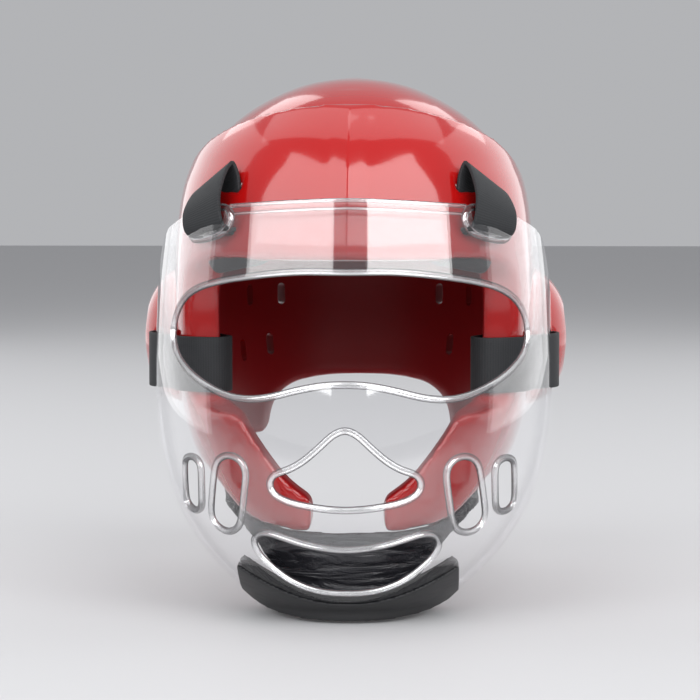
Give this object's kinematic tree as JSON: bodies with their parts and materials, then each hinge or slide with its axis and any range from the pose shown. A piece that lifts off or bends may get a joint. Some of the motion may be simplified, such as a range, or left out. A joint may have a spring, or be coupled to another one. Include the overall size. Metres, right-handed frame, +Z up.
{
  "type": "sparring headgear with face shield",
  "caption": "Dipped-foam sparring headgear with ear and cheek guards, a clear full-face shield held by webbing loops, and a black chin strap and chin cup.",
  "frame": {"origin": "the crown seat: the point inside the dome where the top of the wearer's head bears", "axes": "+Z up, the face towards -Y, +X to the right in the front view"},
  "size_m": [0.223, 0.2566, 0.2702],
  "materials": {
    "foam": "glossy dipped vinyl skin over foam",
    "shield": "clear moulded plastic",
    "webbing": "black webbing",
    "vinyl": "black wrinkled vinyl"
  },
  "bodies": {
    "root": {"foam_shell": "foam", "face_shield": "shield", "top_strap_left": "webbing", "top_strap_right": "webbing", "side_strap_left": "webbing", "side_strap_right": "webbing", "chin_strap": "vinyl", "chin_cup": "vinyl"}
  },
  "joints": []
}
